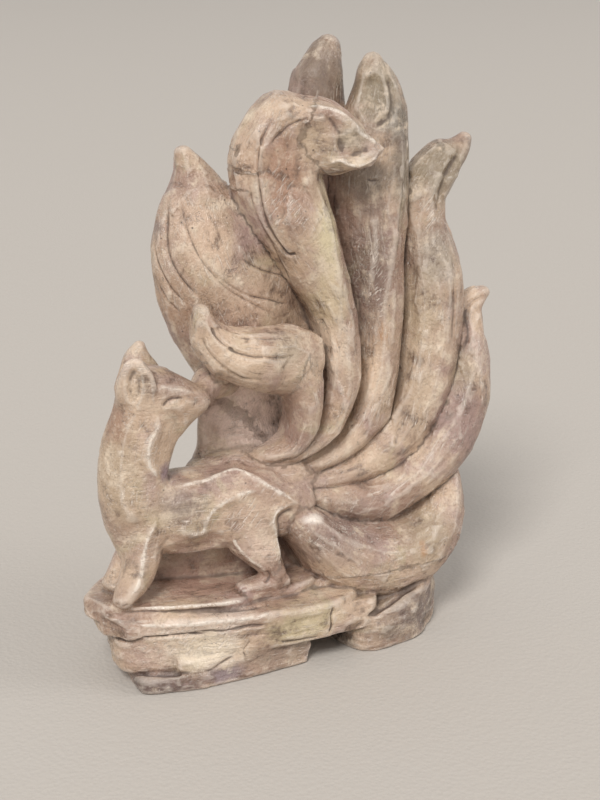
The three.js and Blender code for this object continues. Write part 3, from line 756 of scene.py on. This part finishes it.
# Cuts along the tails follow the fall of the hair on the broad leaves and on the hooked tail.
for line, width, depth in (
        ([(-28.8, -22.6, 120.4), (-27, -24.7, 115.3), (-23.7, -26.2, 111.4), (-17.7, -27.8, 108.2),
          (-8.2, -27.2, 106.2), (0, -25.2, 105)], 0.8, 0.65),
        ([(-31.4, -22.3, 116.8), (-29.3, -23.4, 110.3), (-25.5, -25.4, 105.6), (-19.7, -26.1, 101.8),
          (-13, -26.5, 100)], 0.7, 0.45),
        ([(-20, -23.7, 113.6), (-11.5, -24.5, 111.8), (-3, -22.6, 110.6)], 0.6, 0.4),
        ([(-31.1, 1.4, 156.5), (-33.9, -2.2, 149.4), (-34.9, -3.5, 141.8), (-34, -5.2, 135),
          (-30.5, -7.2, 128.3), (-24.6, -8.9, 122.5)], 0.7, 0.55),
        ([(-30, -2.9, 155.6), (-29.7, -6.9, 146.8), (-26.1, -9.3, 136.4), (-19.3, -10.7, 127.3),
          (-9.6, -10.2, 120.2), (2.1, -7.3, 113.2)], 0.7, 0.4),
        ([(-36.2, 1.9, 140.9), (-37.1, -0.8, 134.3), (-34.5, -4.1, 127.3), (-29.5, -6.6, 120.8)], 0.6, 0.5),
        ([(-23.1, -10.1, 132.4), (-13.1, -10.4, 124.3), (-2.1, -8.8, 120.1), (6.6, -5.1, 116.6)], 0.5, 0.4),
        ([(-13, -10.5, 135.4), (-4.9, -9, 130.4), (4.6, -5.7, 126.7)], 0.6, 0.5),
        ([(-37.4, 0.5, 127), (-35.7, -2.8, 122.5), (-31.5, -6, 117.5)], 0.6, 0.4),
        ([(-2.5, -16.5, 182.5), (-6.5, -17.5, 176.5), (-8.5, -17, 172), (-9.5, -17.5, 166),
          (-8.5, -17, 157.5), (-6.5, -16, 149), (-4, -15.5, 144), (-1, -15.5, 139.5), (2.5, -16.5, 135)],
          0.8, 0.8),
        ([(-6, -19, 170.5), (-3.5, -19.5, 174), (0.5, -20.5, 177.5), (5, -21, 179.5), (8, -22.5, 179)],
          0.7, 0.45),
        ([(-11.5, -15, 163), (-10, -14.5, 154.5), (-7.5, -14, 147), (-3, -13, 139), (3, -10, 129),
          (9, -7.5, 118.5)], 0.7, 0.45),
        ([(41, -4, 190.5), (42, -6.5, 184.5), (41.5, -8, 179.5), (39, -8.5, 175.5), (34.5, -8, 172.5)],
          1.7, 1.0),
        ([(45.5, -6.5, 179.5), (46, -8, 163), (43.5, -10, 142), (41.5, -11.5, 130)], 0.7, 0.45),
        ([(48, -5, 176), (48.5, -6.5, 162), (46, -9, 143)], 0.6, 0.4),
        ([(70.5, -2.5, 165.5), (66.5, -6, 160), (62.5, -7, 155.5), (60, -7.5, 150), (58.5, -8, 143)],
          1.4, 0.7),
        ([(84, -1, 111), (77, -2.5, 110), (73.5, -4, 105.5), (73.5, -6.5, 99.5), (69, -8.5, 91)], 1.3, 0.8),
        ([(62.5, -9.5, 122), (63.5, -10.5, 108), (62, -11, 95)], 1.3, 0.6),
        ([(31.5, -10, 157.5), (34, -10.5, 156.5), (37, -10, 157)], 0.7, 0.4),
        ([(-1, -15.5, 139), (1.5, -16, 136.5), (4, -16.5, 137.5)], 0.7, 0.8),
        ([(-44, -7, 63), (-39, -6, 68.5), (-30, -4, 70)], 0.8, 0.5)):
    carving.cut(line, width, depth)
carving.turned()

# The hollow and the lip of the crest, and the spoon-shaped face of the tall tail beside it
carving.press((21.5, -23, 171.5), (7, 6, 4.5), 1.0)
carving.press((36, -6, 182), (5, 6, 10), 0.9)
carving.press((64, -6, 159), (6, 6, 4.5), 0.6)
carving.cut([(11, -20, 181.5), (14, -23, 178), (15.5, -25, 173.5), (16.5, -25, 170), (18, -24, 167.5)],
             1.6, 0.8)
carving.cut([(18, -24, 167.5), (22, -24, 168.3), (26.5, -23, 169.5)], 1.4, 0.6)
carving.leave_arris([(12, -21.5, 164.5), (13.5, -23.5, 166), (16.5, -24, 166.3), (20, -23, 165.3),
                     (23.5, -23.5, 165.5), (27, -22.5, 166.8), (30, -21.5, 168.5)], 2.4, 1.6)
carving.leave_arris([(4.5, -18.5, 182.5), (10.5, -19.5, 182), (17, -21, 179.5), (22, -22.5, 175),
                     (27, -22, 172), (31, -21, 169.5)], 2.6, 1.0)
carving.turned()

# The fox. Neck and flank are left in broad facets that meet in arrises, the back and the haunch
# have one long ridge, the breast and the forelegs come to an edge in front.
carving.file_flat((-59.5, -20, 70), (-0.7, -0.72, 0.05), (9, 9, 24), 0.7)
carving.file_flat((-43, -20.3, 82), (0.45, -0.9, -0.1), (8, 7, 12), 0.8)
carving.file_flat((-39, -23.3, 58), (0.0, -0.98, 0.2), (13, 5, 8), 0.9)
carving.file_flat((-36, -22.5, 47), (0.0, -0.85, -0.5), (12, 6, 6), 0.8)
for line, width, height, pale_edge in (
        ([(-45.5, -21, 91.5), (-46.5, -21.5, 86), (-48.5, -21.5, 83), (-50, -22, 77.5), (-48.5, -22, 73),
          (-45.5, -21, 67.5)], 3.6, 1.5, 0.9),
        ([(-50.5, -21, 96), (-54.5, -18.5, 86), (-57.5, -19.5, 73.5), (-57.5, -22, 63), (-54, -23.5, 55)],
          4.0, 0.9, 0.55),
        ([(-44.5, -21, 67.5), (-37, -20.5, 65), (-30, -20.5, 65.5), (-25, -19.5, 66), (-19, -17.5, 66),
          (-15, -20.5, 65), (-9, -22.5, 61), (-2, -23, 56.5), (5, -21, 50.5)], 3.2, 1.3, 1.0),
        ([(-42.5, -23, 52), (-36, -23.5, 50), (-32.5, -24, 50.5), (-30.5, -24, 55), (-25.5, -24, 59),
          (-17.5, -24, 61), (-10.5, -23.5, 61)], 2.8, 1.1, 0.95),
        ([(1, -22.5, 54), (-6, -24, 54), (-9, -25, 50.5), (-7.5, -24.5, 45.5), (-7, -25, 40),
          (-7, -25.5, 34)], 2.6, 1.2, 0.9),
        ([(-22.5, -24, 47), (-21, -24.5, 43.4), (-17.7, -25, 39), (-13.2, -26, 35), (-12, -26.3, 31)],
          2.0, 0.7, 1.0),
        ([(-47, -22.5, 57), (-51, -24, 51.5), (-53.5, -25, 43), (-55.5, -26, 37), (-60.5, -27, 31)],
          3.2, 1.3, 0.9),
        ([(-56.5, -17.5, 101.5), (-55.4, -19.1, 105.2), (-54.2, -19.4, 107.7), (-51.9, -19.6, 108.5),
          (-50.2, -21.2, 107.1), (-48.1, -21.4, 104.3), (-46.9, -21.3, 100.9), (-47.1, -20.8, 96.4),
          (-45.5, -21, 92)], 1.8, 0.9, 0.6),
        ([(-47.2, -21.1, 98), (-43.8, -20, 98.7), (-40.7, -20.4, 98), (-36.8, -20.6, 97),
          (-33.6, -20.6, 95.6)], 2.0, 0.6, 0.7)):
    carving.leave_arris(line, width, height, pale_edge)
carving.turned()
carving.press((-52.9, -21, 100.5), (2.8, 5, 7), 1.05)
carving.press((-40.5, -21.6, 94.4), (4.5, 3, 2.2), 0.5)
carving.press((-38, -24, 57), (7, 5, 4), 0.5)
carving.raise_ridge([(-42.5, -21.6, 93.6), (-40.5, -21.8, 93.8), (-38.5, -21.6, 94.2)], 1.4, 0.2)
for line, width, depth in (
        ([(-44.3, -21.5, 93), (-43, -21.5, 94.2), (-41.5, -21.6, 95.1), (-39.3, -21.6, 95.4),
          (-37, -21.6, 95)], 0.45, 0.5),
        ([(-52.5, -20.8, 106), (-53.8, -20.6, 102), (-53.5, -19.9, 97)], 1.0, 0.35),
        ([(-34, -21.5, 92.3), (-31.5, -21, 93.2)], 0.5, 0.3),
        ([(-60.5, -21.3, 34.4), (-58.8, -16.5, 37), (-56.4, -12.5, 40.5), (-55.5, -12, 44)], 1.0, 0.9),
        ([(-48, -23.5, 41.5), (-45, -23.5, 47), (-43.5, -23, 50)], 1.2, 0.35),
        ([(1.5, -22, 52), (-4, -22, 53), (-7, -22, 50), (-6, -20.5, 44), (-2, -17, 38)], 1.2, 0.4),
        ([(-62, -26.5, 31), (-64, -24.5, 29.8)], 0.6, 0.5),
        ([(-59.5, -27.5, 31.6), (-61.8, -27.5, 29.6)], 0.6, 0.5),
        ([(-20.5, -25.8, 28.4), (-18.2, -26.4, 29)], 0.5, 0.4),
        ([(-11.4, -26.2, 33.4), (-10.4, -26.5, 31), (-12, -26.6, 29.6)], 0.9, 0.6)):
    carving.cut(line, width, depth)
carving.turned()

# The rock is left rougher. The beds part in sharp joints, the bed under the plate has a hollow run
# along its top, fine cracks are cut in and, like every cut, darkened with painted shade along their
# line, and corners are knocked off.
for centre, way in (((-57.5, -32, 2.5), (-0.7, -0.7, 0.1)), ((-67.5, -18, 26), (-0.8, -0.3, 0.5)),
                    ((-61, -25.5, 11), (-0.6, -0.8, 0.2)), ((51, -24, 6), (0.6, -0.7, -0.3)),
                    ((57, -16, 14), (0.8, -0.4, 0.4)), ((-64.5, -21, 20), (-0.6, -0.7, -0.2)),
                    ((17, -33, 17), (0.4, -0.8, 0.5)), ((20, -34, 8), (-0.7, -0.6, 0.3))):
    carving.file_flat(centre, way, (8, 8, 6), 0.9)
low_stone = 1 - eased(carving.co[:, 2], 24, 27)
layered = carving.co / (7.0, 7.0, 2.6)
streak = swell(layered, 1.0, 5) + 0.6 * swell(layered * 2.3, 1.0, 6) + 0.35 * swell(layered * 5.1, 1.0, 7)
carving.co += carving.normals * (0.28 * streak * low_stone * (1 - carving.normals[:, 2] ** 2))[:, None]
carving.turned()
for line, width, depth in (
        ([(-63.5, -22.5, 27), (-52, -27, 27), (-44, -28.5, 26.2), (-36, -29.5, 25.5), (-23, -31, 24.3),
          (-12, -30.5, 23.3)], 1.0, 1.0),
        ([(-64.5, -20.5, 18), (-61.5, -21.5, 17), (-56, -28, 18.5), (-49, -31, 18.8), (-41, -33, 18.8),
          (-31.5, -33.5, 18.3)], 0.9, 1.3),
        ([(-39.8, -33.1, 19.8), (-34.4, -34.1, 19.4), (-28.8, -34.9, 19.2), (-21.2, -35.8, 19.4),
          (-14, -36.2, 19)], 0.6, 0.8),
        ([(-57, -24, 4.5), (-53.5, -29.5, 5), (-47, -32, 5.2), (-41, -33, 5.8)], 0.8, 1.0),
        ([(9.4, -35.2, 20.5), (8.2, -35.6, 17.1), (8.4, -35.6, 13.3), (7.4, -35.4, 11)], 0.5, 0.6),
        ([(-26, -34, 9.4), (-32, -33.5, 7.6), (-38, -33, 6)], 0.6, 0.4),
        ([(-12, -35.5, 12), (-3, -35.8, 10.8), (5, -35.5, 10.5)], 0.8, 0.7),
        ([(-20, -33, 15), (-23, -33, 11), (-22, -33, 6)], 0.5, 0.3),
        ([(21, -33.8, 13.3), (27.1, -31.7, 13.7), (33, -30, 14.8), (40.5, -27, 16.7), (46.6, -25.4, 19)],
          1.2, 1.0)):
    carving.cut(line, width, depth)
for line, width, height in (
        ([(-62, -25, 24), (-50.7, -30.8, 23), (-40.4, -32.3, 22.6), (-30.8, -33.6, 22.3),
          (-20, -34.5, 21.8), (-8, -35, 21.5)], 1.8, 0.5),
        ([(-60, -26, 28.3), (-50, -28, 28), (-38, -30, 27.3), (-26, -31.5, 26.5), (-18, -31.5, 26.2)],
          1.2, 0.4)):
    carving.leave_arris(line, width, height)
carving.turned()

# No stroke of a hand tool is dead even, so every face waves a little.
wave = 0.18 * swell(carving.co, 13.0, 1) + 0.15 * swell(carving.co, 6.0, 2) + 0.10 * swell(carving.co, 2.6, 3)
carving.co += carving.normals * wave[:, None]
MM = 0.001
low_corner, high_corner = np.array(cad_box) / MM
carving.co = np.clip(carving.co, low_corner, high_corner)
carving.turned()
facing(skin_mesh, carving.co * MM)

# The carving is thinned to the triangles that its curves need, and what its surface has to tell the
# finish goes along: how hollow it is close by and over a wide reach, where an arris gets a pale
# painted highlight, partly wear, where a cut gets painted shade, and its grain. Any bubble closed
# inside is dropped.
MOST_TRIANGLES = 194000
close = ((rubbed(carving.co, pairs, 14) - carving.co) * carving.normals).sum(1)
broad = ((rubbed(carving.co, pairs, 120) - carving.co) * carving.normals).sum(1)


def read_mark(mesh, name, like):
    key, width = ("value", 1) if like.ndim == 1 else ("vector", 3)
    values = numbers(mesh.attributes[name].data, key, width)
    return values[:, 0] if width == 1 else values


marks = {"hollowed": close, "sunk": broad, "wear_and_sheen": carving.wear_and_sheen, "cut_shade": carving.cut_shade, "grain": grain}
for name, values in marks.items():
    put_mark(skin_mesh, name, values)
full = shown("fox_stone", skin_mesh)
thin = full.modifiers.new("thin", "DECIMATE")
thin.ratio = min(1.0, MOST_TRIANGLES / (2 * len(skin_mesh.polygons)))
thin.use_collapse_triangulate = True
thinned = worked(full)
co, pairs = points_and_pairs(thinned)
co = np.clip(co, *np.array(cad_box))
shell = np.arange(len(co))
while True:
    least = np.minimum(shell[pairs[:, 0]], shell[pairs[:, 1]])
    joined = shell.copy()
    np.minimum.at(joined, pairs[:, 0], least)
    np.minimum.at(joined, pairs[:, 1], least)
    joined = joined[joined]
    if (joined == shell).all():
        break
    shell = joined
outer = shell == shell[np.argmax(co[:, 2])]
number = np.cumsum(outer) - 1
corners = numbers(thinned.loops, "vertex_index", 1, np.int32).reshape(-1, 3)
corners = number[corners[outer[corners[:, 0]]]]
fox_mesh = bpy.data.meshes.new("fox carved in moonstone")
fox_mesh.from_pydata(co[outer].tolist(), [], corners.tolist())
fox_mesh.polygons.foreach_set("use_smooth", [True] * len(fox_mesh.polygons))
for name, values in marks.items():
    put_mark(fox_mesh, name, read_mark(thinned, name, values)[outer])
fox_piece = shown("fox_in_moonstone", fox_mesh)


# The finish. The stone is a feldspar, pinkish beige with cream, lilac, grey and brown patches that
# run through it, dark specks and fine cracks. Painted shade darkens the creases, and a pale painted
# highlight, partly wear, runs along the ridges.
def paint(red, green, blue):
    return tuple((v / 255) ** 2.2 for v in (0.98 * red, 0.963 * green, 0.975 * blue)) + (1,)


stone.use_nodes = True
look = stone.node_tree


def node(kind, settings, sockets, out=0):
    return put(look, kind, settings, sockets, out)


def vector_sum(kind, one, other, out=0):
    return node("ShaderNodeVectorMath", {"operation": kind}, {0: one, 1: other}, out)


def scaled_by(vector, factors):
    return vector_sum("MULTIPLY", vector, factors)


def noise(vector, scale, detail=4.0, rough=0.6, twist=0.0):
    return node("ShaderNodeTexNoise", {}, {"Vector": vector, "Scale": scale, "Detail": detail,
                                           "Roughness": rough, "Distortion": twist})


def between(value, low, high):
    return node("ShaderNodeMapRange", {"interpolation_type": "SMOOTHSTEP"},
                {"Value": value, "From Min": low, "From Max": high})


# Sockets 6 and 7 of a mix are its two colours, and its output 2 is the mixed one
def coloured(share, below, above):
    return node("ShaderNodeMix", {"data_type": "RGBA"}, {0: share, 6: below, 7: above}, out=2)


def mark(name):
    return node("ShaderNodeAttribute", {"attribute_name": name}, {}, out="Fac")


spot = node("ShaderNodeTexCoord", {}, {}, out="Object")
spot = scaled_by(spot, (1000.0, 1000.0, 1000.0))
run = node("ShaderNodeAttribute", {"attribute_name": "grain"}, {}, out="Vector")
hollowed, sunk, edge_wear_and_sheen, cut_shade = mark("hollowed"), mark("sunk"), mark("wear_and_sheen"), mark("cut_shade")

clouds = noise(spot, 0.035, 3.0, 0.5, 0.6)
mottle = noise(spot, 0.17, 6.0, 0.72, 0.5)
blotch = noise(spot, 0.09, 4.0, 0.6, 0.8)
fine = noise(spot, 0.8, 5.0, 0.75)
pits = noise(spot, 1.5, 3.0, 0.7)
streaks = noise(scaled_by(run, (0.04, 0.5, 0.5)), 1.0, 5.0, 0.7, 0.3)


# Pale scratch lines, partly real scratches and partly painted glints, lie in bundles, along the tails
# and slantwise to them, most where the stone was rubbed
def scratch_glint_lines(line, axis, slant, seed, low):
    turned = node("ShaderNodeVectorRotate", {"rotation_type": axis}, {"Vector": line, "Angle": slant})
    turned = vector_sum("ADD", turned, (seed, seed, seed))
    lines = noise(scaled_by(turned, (0.09, 1.5, 1.5)), 1.0, 2.0, 0.6)
    return between(lines, 0.56, 0.66) * between(noise(spot, 0.1, 3.0, 0.6, seed * 0.03), low, low + 0.12)


def place_share(middle, reach_of):
    from_middle = scaled_by(vector_sum("SUBTRACT", spot, middle), tuple(1 / r for r in reach_of))
    return node("ShaderNodeVectorMath", {"operation": "LENGTH"}, {0: from_middle}, out="Value")


rubbed_at = [1 - between(place_share(*where), 0.5, 1.1) for where in (
    ((-1, -20, 158), (8, 14, 18)), ((-16, -24, 55), (11, 8, 9)), ((-48, -21, 80), (5, 8, 18)),
    ((-9, -3, 82), (8, 8, 6)), ((55, -9, 142), (9, 10, 12)), ((32, -11, 118), (7, 8, 26)),
    ((-38, -31, 18), (24, 9, 8)), ((20, -24, 44), (26, 10, 8)))]
rub = rubbed_at[0]
for share in rubbed_at[1:]:
    rub = rub.maximum(share)
scratches_and_glints = (scratch_glint_lines(run, "Z_AXIS", 0.1, 3.0, 0.5) * 0.8).maximum(
    scratch_glint_lines(spot, "Y_AXIS", 0.85, 17.0, 0.38) * (0.15 + 0.85 * rub)).maximum(
    scratch_glint_lines(spot, "Y_AXIS", 1.35, 31.0, 0.5) * 0.6)

colour = coloured(between(clouds, 0.38, 0.62), paint(164, 136, 118), paint(202, 178, 151))
colour = coloured(between(noise(spot, 0.06, 4.0, 0.6, 0.5), 0.5, 0.66) * 0.6, colour, paint(172, 147, 138))
colour = coloured(between(noise(spot, 0.045, 4.0, 0.6, 1.0), 0.55, 0.7) * 0.55, colour, paint(186, 175, 140))

# The patches that show: middle and reach in millimetres, colour, and how strong each is; a few are
# painted light or painted shade, as marked
PATCHES = (
    ((33, -10, 130), (9, 16, 24), (122, 104, 94), 0.75),
    ((39, -4, 184), (10, 14, 16), (138, 128, 104), 0.85),
    ((46, -6, 163), (7, 14, 24), (128, 119, 104), 0.85),
    ((32, -11, 158), (10, 12, 7), (112, 101, 88), 0.75),
    ((-2, -20, 162), (8.5, 12, 15), (168, 132, 108), 0.85),
    ((14, -19, 143), (6.5, 12, 17), (218, 207, 168), 0.9),
    ((14, -17, 120), (7, 12, 15), (216, 200, 165), 0.85),
    ((-12, -14, 163), (6, 16, 15), (188, 160, 136), 0.5),
    ((-24, -10, 143), (10, 16, 13), (222, 196, 168), 0.75),
    ((-9, -8, 147), (7, 16, 14), (172, 145, 140), 0.7),
    ((-33, -4, 121), (11, 16, 12), (156, 124, 101), 0.6),
    ((-7, -10, 120), (12, 14, 8), (208, 182, 156), 0.75),
    ((-20, -25, 106), (13, 12, 9), (218, 194, 164), 0.7),
    ((-2, -26, 108), (8, 12, 8), (202, 188, 162), 0.7),
    ((61, -5, 158), (16, 16, 13), (134, 121, 98), 0.9),
    ((8, -22, 172), (6, 10, 8), (198, 178, 148), 0.7),
    ((22, -24, 173), (8, 8, 5), (152, 140, 120), 0.75),
    ((19, -24, 165.5), (9, 8, 2.8), (228, 210, 180), 0.9),
    # Painted light: pale patches on the low stems of the hooked tail and the spire, where neighbouring tails
    # shade them
    ((32, -9, 92), (8, 12, 14), (236, 214, 186), 0.85),
    ((16, -15, 103), (6, 12, 11), (238, 218, 192), 0.85),
    ((-51.5, -21, 101), (5, 8, 8), (228, 208, 180), 0.8),
    ((-13, -26, 44), (7, 8, 9), (232, 210, 188), 0.75),
    ((41, -8, 175), (7, 12, 7), (110, 101, 86), 0.85),
    ((51, -10, 92), (8, 12, 12), (214, 194, 166), 0.7),
    ((13, -26, 34), (12, 10, 4), (200, 178, 158), 0.5),
    ((58, -10, 129), (9, 16, 13), (158, 152, 136), 0.65),
    ((52, -10, 111), (9, 14, 14), (196, 180, 150), 0.65),
    ((69, -10, 88), (6, 14, 10), (150, 140, 112), 0.55),
    ((66, -13, 71), (12, 16, 15), (160, 136, 130), 0.6),
    ((47, -8, 80), (11, 16, 17), (190, 170, 142), 0.55),
    ((18, -24, 42), (18, 16, 11), (146, 126, 116), 0.7),
    ((50, -22, 35), (12, 16, 11), (160, 147, 120), 0.6),
    ((40, -20, 9), (22, 24, 11), (110, 95, 88), 0.9),
    ((-58, -18, 71), (9, 14, 20), (178, 160, 132), 0.65),
    ((-58, -14, 88), (6, 9, 8), (150, 114, 92), 0.7),
    ((-40, -22, 60), (9, 9, 7), (140, 125, 117), 0.7),
    ((-43, -18, 70), (4.5, 7, 4), (126, 108, 126), 0.75),
    # Partly the bank's pinkish brown, partly painted light against the shade under the belly
    ((-33, -10, 27), (23, 15, 7), (190, 156, 138), 0.65),
    # Painted highlight: the bright band along the top of the rolled bed
    ((-38, -31, 21.5), (22, 9, 4), (228, 208, 188), 0.8),
    ((-3, -34, 16), (15, 12, 8), (208, 196, 156), 0.75),
    ((-53, -30, 12), (11, 12, 5.5), (186, 162, 148), 0.6),
    # Painted highlight on the bed below the roll
    ((-35, -32, 12), (14, 12, 8), (236, 224, 198), 0.85),
    ((-9, -34, 6), (16, 12, 5.5), (160, 142, 124), 0.7),
    ((-30, -33, 4), (8, 12, 4), (128, 118, 128), 0.7),
    ((-64, -16, 27), (9, 12, 4), (136, 112, 96), 0.6),
    ((-53, -31, 2.5), (16, 12, 5), (108, 91, 84), 1.0),
    # Painted light: the hollow behind the head is made pale against the shade of the tails above it
    ((-6, -3, 79), (20, 9, 13), (246, 226, 210), 1.0),
    ((-8, -18, 64), (17, 12, 6), (162, 133, 122), 0.5),
    # Painted shade: the tall horn at the back is darkened as it stands in shade
    ((24, 8, 190), (12, 14, 20), (124, 106, 88), 0.95),
    ((-41, -19, 99), (8, 8, 4), (138, 116, 112), 0.5),
    ((-16, -26, 52), (9, 8, 8), (184, 158, 138), 0.6),
    ((37, -13, 106), (1.8, 4, 4.2), (176, 130, 84), 0.7),
    ((47, -26, 31), (1.6, 4, 3.0), (180, 132, 84), 0.7),
    # Painted highlight: the white spot on the low tail
    ((7, -22.5, 47.5), (4.5, 4, 1.8), (244, 236, 222), 0.95),
    # Partly dark stone, partly painted shade: near-black inside the broken hollow
    ((11, -25, 3), (10.5, 9, 9), (30, 26, 29), 1.0),
)
ragged = (noise(spot, 0.16, 6.0, 0.7, 0.3) - 0.5) * 1.5
for middle, reach_of, tint, strength in PATCHES:
    share = (1 - between(place_share(middle, reach_of) + ragged, 0.3, 1.3)) * strength
    colour = coloured(share, colour, paint(*tint))

# Light and dark mottling, streaks along the grain, fine salt and pepper
shade = (mottle - 0.5) * 1.6 + (streaks - 0.5) * 1.3 + (fine - 0.5) * 0.8
shade = shade + (blotch - 0.5) * 2.8 + (pits - 0.5) * 0.25
colour = coloured(between(shade, 0.0, 0.9) * 0.9, colour, paint(228, 212, 186))
colour = coloured(between(0.0 - shade, 0.02, 0.8) * 0.85, colour, paint(98, 78, 64))
crack = noise(spot, 0.08, 4.0, 0.6, 1.2)
crack = (1 - between((crack - 0.47).unsigned(), 0.002, 0.007)) * between(noise(spot, 0.05, 2.0), 0.52, 0.62)
colour = coloured(crack * 0.6, colour, paint(92, 74, 66))

# Black specks and pits, here and there
grit = node("ShaderNodeTexVoronoi", {}, {"Vector": spot, "Scale": 0.36})
lot = node("ShaderNodeTexVoronoi", {}, {"Vector": spot, "Scale": 0.36}, out="Color")
lot = node("ShaderNodeSeparateColor", {}, {"Color": lot})
specks = (1 - between(grit, 0.07, 0.15)) * between(lot, 0.84, 0.88)
specks = specks * between(noise(spot, 0.03, 2.0), 0.46, 0.56)
pitted = between(0.0 - pits, -0.42, -0.36) * between(blotch, 0.42, 0.6)
colour = coloured(specks.maximum(pitted * 0.12) * 0.8, colour, paint(60, 50, 45))

# Pale scratch lines are partly real scratches, partly painted glints; ridges get a pale painted
# highlight, partly wear; creases, hollows and cut lines get brown painted shade
proud = between(0.0 - hollowed, 0.03, 0.16)
wear_and_sheen = (between(edge_wear_and_sheen, 0.42, 0.78) * between(mottle + fine, 0.84, 1.06) * 1.25).maximum(proud * 0.35)
# Painted glints: pale scratch lines, partly real scratches
colour = coloured(scratches_and_glints.clip() * 0.62, colour, paint(240, 230, 214))
# Painted highlight, partly wear: pale along the arrises and on proud, convex places
colour = coloured(wear_and_sheen.clip() * 0.8, colour, paint(240, 232, 216))
# Painted shade: creases, wide hollows and cut lines are darkened brown
crease_shade = between(hollowed, 0.04, 0.24) * 0.85 + between(sunk, 0.5, 2.0) * 0.15 + cut_shade * 0.36
crease_shade = crease_shade * (0.25 + 1.3 * mottle)
colour = coloured(crease_shade.clip() * 0.8, colour, paint(72, 54, 43))

shader = look.nodes["Principled BSDF"]
look.links.new(colour.socket, shader.inputs["Base Color"])
rough_part = 0.24 + (fine - 0.5) * 0.3 + crease_shade * 0.3 - wear_and_sheen * 0.08 + (blotch - 0.5) * 0.9
look.links.new(rough_part.clip().socket, shader.inputs["Roughness"])
relief = streaks * 0.5 + fine * 0.22 + mottle * 0.9 - scratches_and_glints * 0.2 - pitted * 0.08 + pits * 0.02
bump = node("ShaderNodeBump", {}, {"Height": relief, "Strength": 1.0, "Distance": 0.0011})
look.links.new(bump.socket, shader.inputs["Normal"])
shader.inputs["Specular IOR Level"].default_value = 0.85

fox_mesh.materials.clear()
fox_mesh.materials.append(stone)
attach(fox_piece, "root")
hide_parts("fox_carving")
